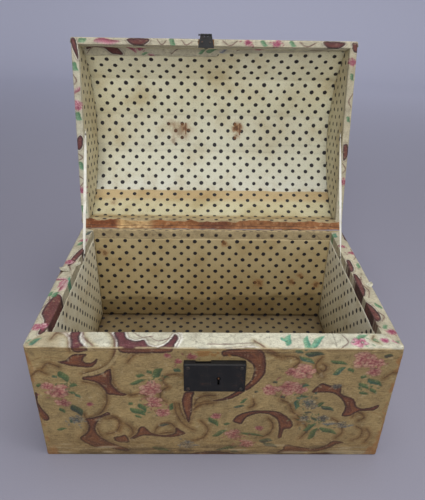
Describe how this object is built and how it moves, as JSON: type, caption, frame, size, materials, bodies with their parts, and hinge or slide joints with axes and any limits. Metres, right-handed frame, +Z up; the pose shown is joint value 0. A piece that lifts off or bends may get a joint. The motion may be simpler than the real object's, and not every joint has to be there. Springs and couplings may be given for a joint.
{
  "type": "storage trunk",
  "caption": "Small dome-top wooden trunk covered in floral paper and lined with dotted paper, open on tape stays, with an iron box lock, hasp, hinges and a bail handle on the lid.",
  "frame": {"origin": "centre of the bottom face of the body, on the surface it stands on", "axes": "+X to the right seen from the front, +Y to the back, +Z up; the lid is open at rest"},
  "size_m": [0.38, 0.4076, 0.4163],
  "materials": {
    "wallpaper": "aged matte printed paper",
    "dotted_lining": "aged matte printed paper",
    "board_wood": "bare aged softwood",
    "black_iron": "black painted sheet iron, worn",
    "spring_steel": "dull",
    "nail_iron": "dark oxidised",
    "cotton_tape": "woven cotton",
    "brown_strip": "worn brown paper on cloth"
  },
  "bodies": {
    "trunk_body": {"front_paper": "wallpaper", "back_paper": "wallpaper", "left_end_paper": "wallpaper", "right_end_paper": "wallpaper", "rim_paper": "wallpaper", "floor_lining": "dotted_lining", "front_lining": "dotted_lining", "back_lining": "dotted_lining", "left_lining": "dotted_lining", "right_lining": "dotted_lining", "bottom_board": "board_wood", "front_board": "board_wood", "back_board": "board_wood", "left_end_board": "board_wood", "right_end_board": "board_wood", "lock_cover": "black_iron", "lock_backplate": "black_iron", "lock_bolt_guides": "black_iron", "lock_key_pin": "black_iron", "left_hinge_body_leaf": "black_iron", "right_hinge_body_leaf": "black_iron", "lock_spring": "spring_steel", "left_hinge_pin": "spring_steel", "right_hinge_pin": "spring_steel", "body_nails": "nail_iron", "lock_nails": "nail_iron", "hinge_body_nails": "nail_iron", "stay_body_tacks": "nail_iron", "left_stay_tape": "cotton_tape", "right_stay_tape": "cotton_tape", "hinge_strip": "brown_strip"},
    "lid": {"lid_top_paper": "wallpaper", "lid_left_paper": "wallpaper", "lid_right_paper": "wallpaper", "lid_rim_paper": "wallpaper", "lid_top_lining": "dotted_lining", "lid_left_lining": "dotted_lining", "lid_right_lining": "dotted_lining", "lid_front_rail": "board_wood", "lid_back_rail": "board_wood", "lid_left_end": "board_wood", "lid_right_end": "board_wood", "lid_stave_1": "board_wood", "lid_stave_2": "board_wood", "lid_stave_3": "board_wood", "lid_stave_4": "board_wood", "lid_stave_5": "board_wood", "lid_nails": "nail_iron", "hasp": "black_iron", "hasp_nails": "nail_iron", "hasp_pin": "black_iron", "left_hinge_lid_leaf": "black_iron", "right_hinge_lid_leaf": "black_iron", "hinge_lid_nails": "nail_iron", "stay_lid_tacks": "nail_iron", "handle_cotters": "black_iron", "handle_rosettes": "black_iron"},
    "lock_bolt": {"lock_bolt": "black_iron"},
    "bail": {"lid_handle": "black_iron"},
    "hasp_tongue": {"hasp_tongue": "black_iron"}
  },
  "joints": [
    {"name": "lid_hinge", "type": "hinge", "parent": "trunk_body", "child": "lid", "pos_m": [0, 0.1317, 0.1623], "axis": [1, 0, 0], "range_deg": [0, 103], "deforming": ["left_stay_tape", "right_stay_tape", "hinge_strip"]},
    {"name": "bolt_slide", "type": "slide", "parent": "trunk_body", "child": "lock_bolt", "axis": [-1, 0, 0], "range_m": [0, 0.0065]},
    {"name": "bail_swing", "type": "hinge", "parent": "lid", "child": "bail", "pos_m": [0, 0.26596, 0.273], "axis": [1, 0, 0], "range_deg": [-20, 178]},
    {"name": "hasp_swing", "type": "hinge", "parent": "lid", "child": "hasp_tongue", "pos_m": [0, 0.19132, 0.41476], "axis": [1, 0, 0], "range_deg": [0, 180]}
  ]
}
